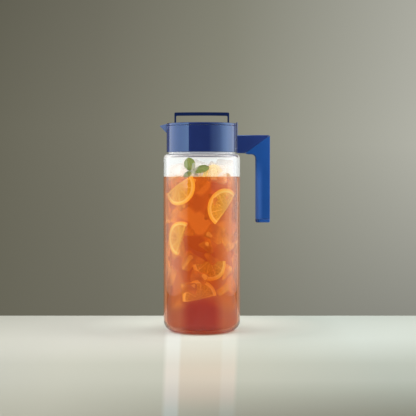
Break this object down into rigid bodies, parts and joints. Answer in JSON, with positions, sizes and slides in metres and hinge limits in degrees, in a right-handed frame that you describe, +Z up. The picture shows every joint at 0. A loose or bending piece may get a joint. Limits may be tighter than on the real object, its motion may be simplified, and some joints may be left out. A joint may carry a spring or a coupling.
{
  "type": "iced tea pitcher",
  "caption": "Clear cylindrical pitcher with a blue collar, pouring beak, free-ended side handle and quarter-turn lid with folding bail.",
  "frame": {"origin": "centre of the flat underside, on the vessel's axis", "axes": "+Z up along the vessel's axis, +X towards the handle, -X towards the beak, -Y the side that faces the camera"},
  "size_m": [0.1488, 0.104, 0.297],
  "materials": {
    "clear_body": "clear polished copolyester",
    "blue_gloss": "polished moulded polypropylene",
    "blue_grip": "matte silicone",
    "blue_cap": "satin moulded",
    "pale_seal": "translucent silicone",
    "steel": "bright"
  },
  "bodies": {
    "pitcher": {"pitcher_body": "clear_body", "neck_seal": "pale_seal", "spout_collar": "blue_gloss", "handle_frame": "blue_gloss", "handle_grip": "blue_grip", "handle_end_cap": "blue_cap", "handle_screw_lower": "steel", "handle_screw_upper": "steel"},
    "gasket": {"lid_gasket": "pale_seal"},
    "lid": {"lid_plug": "blue_gloss", "lid_cover": "blue_gloss", "rim_seal": "pale_seal", "bail_pin_left": "steel", "bail_pin_right": "steel"},
    "bail": {"lid_bail": "blue_gloss"}
  },
  "joints": [
    {"name": "lid_lift", "type": "slide", "parent": "pitcher", "child": "gasket", "axis": [0, 0, 1], "range_m": [0, 0.07]},
    {"name": "lid_turn", "type": "hinge", "parent": "gasket", "child": "lid", "pos_m": [0, 0, 0.2787], "axis": [0, 0, -1], "range_deg": [0, 90]},
    {"name": "bail_fold", "type": "hinge", "parent": "lid", "child": "bail", "pos_m": [0, 0, 0.2793], "axis": [1, 0, 0], "range_deg": [0, 80]}
  ]
}
